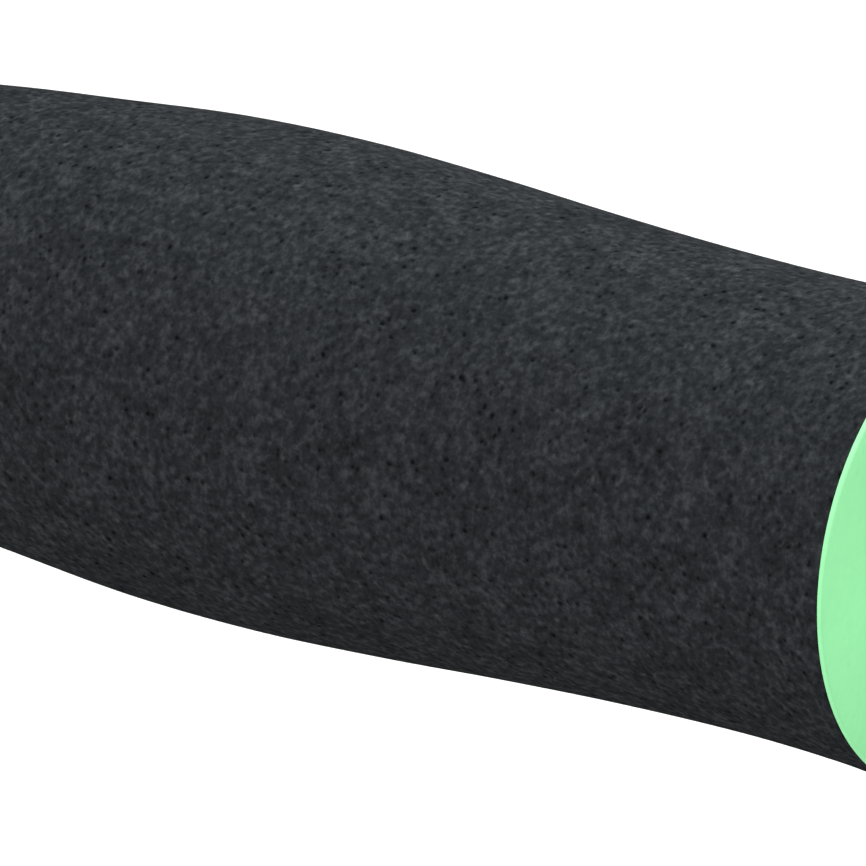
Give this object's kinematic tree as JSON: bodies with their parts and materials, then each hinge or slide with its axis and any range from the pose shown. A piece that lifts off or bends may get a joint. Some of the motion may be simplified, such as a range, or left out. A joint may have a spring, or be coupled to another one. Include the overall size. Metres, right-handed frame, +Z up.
{
  "type": "popping bobber float",
  "caption": "Foam fishing float with a flat coloured face, threaded on a wire stem between click beads and swivels.",
  "frame": {"origin": "centre of the line eye's hole, at the top of the hanging float", "axes": "+Z up the stem towards the fishing line, +Y through the line eye's hole, +X across the eye"},
  "size_m": [0.0266, 0.0266, 0.2219],
  "materials": {
    "body_foam": "black closed-cell EVA foam, matt, with a fine sanded grain",
    "face_foam": "light green EVA foam sheet, matt and smooth",
    "green_plastic": "light green moulded plastic, glossy",
    "black_plastic": "black moulded plastic, satin",
    "bead_brass": "turned brass, polished",
    "ballast_brass": "turned brass, satin",
    "swivel_brass": "brass with a black nickel plating",
    "swivel_wire": "brass wire with a black nickel plating",
    "stem_steel": "drawn stainless wire",
    "sleeve_copper": "black oxidised crimp sleeve"
  },
  "bodies": {
    "line_eye": {"line_eye": "swivel_wire"},
    "top_barrel": {"top_swivel_barrel": "swivel_brass"},
    "top_stem_eye": {"top_stem_eye": "swivel_wire"},
    "stem": {"stem_wire": "stem_steel", "top_crimp_sleeve": "sleeve_copper", "bottom_crimp_sleeve": "sleeve_copper"},
    "lower_brass_bead": {"lower_brass_bead": "bead_brass"},
    "lower_plastic_bead": {"lower_plastic_bead": "green_plastic"},
    "float": {"foam_body": "body_foam", "face_disc": "face_foam", "top_grommet": "black_plastic", "liner_tube": "black_plastic", "ballast_weight": "ballast_brass", "tail_bushing": "black_plastic"},
    "upper_plastic_bead": {"upper_plastic_bead": "green_plastic"},
    "upper_brass_bead": {"upper_brass_bead": "bead_brass"},
    "top_plastic_bead": {"top_plastic_bead": "green_plastic"},
    "bottom_stem_eye": {"bottom_stem_eye": "swivel_wire"},
    "bottom_barrel": {"bottom_swivel_barrel": "swivel_brass"},
    "leader_eye": {"leader_eye": "swivel_wire"}
  },
  "joints": [
    {"name": "top_barrel_spin", "type": "hinge", "parent": "line_eye", "child": "top_barrel", "pos_m": [0, 0, 0], "axis": [0, 0, 1], "continuous": true},
    {"name": "top_stem_eye_spin", "type": "hinge", "parent": "top_barrel", "child": "top_stem_eye", "pos_m": [0, 0, 0], "axis": [0, 0, 1], "continuous": true},
    {"name": "stem_tilt", "type": "hinge", "parent": "top_stem_eye", "child": "stem", "pos_m": [0, 0, -0.0137], "axis": [1, 0, 0], "range_deg": [-90, 90]},
    {"name": "lower_brass_bead_slide", "type": "slide", "parent": "stem", "child": "lower_brass_bead", "axis": [0, 0, 1], "range_m": [0, 0.005]},
    {"name": "lower_plastic_bead_slide", "type": "slide", "parent": "lower_brass_bead", "child": "lower_plastic_bead", "axis": [0, 0, 1], "range_m": [0, 0.005]},
    {"name": "float_slide", "type": "slide", "parent": "lower_plastic_bead", "child": "float", "axis": [0, 0, 1], "range_m": [0, 0.02]},
    {"name": "upper_plastic_bead_slide", "type": "slide", "parent": "float", "child": "upper_plastic_bead", "axis": [0, 0, 1], "range_m": [0, 0.005]},
    {"name": "upper_brass_bead_slide", "type": "slide", "parent": "upper_plastic_bead", "child": "upper_brass_bead", "axis": [0, 0, 1], "range_m": [0, 0.005]},
    {"name": "top_plastic_bead_slide", "type": "slide", "parent": "upper_brass_bead", "child": "top_plastic_bead", "axis": [0, 0, 1], "range_m": [0, 0.005]},
    {"name": "bottom_swivel_tilt", "type": "hinge", "parent": "stem", "child": "bottom_stem_eye", "pos_m": [0, 0, -0.2034], "axis": [1, 0, 0], "range_deg": [-90, 90]},
    {"name": "bottom_barrel_spin", "type": "hinge", "parent": "bottom_stem_eye", "child": "bottom_barrel", "pos_m": [0, 0, 0], "axis": [0, 0, 1], "continuous": true},
    {"name": "leader_eye_spin", "type": "hinge", "parent": "bottom_barrel", "child": "leader_eye", "pos_m": [0, 0, 0], "axis": [0, 0, 1], "continuous": true}
  ]
}
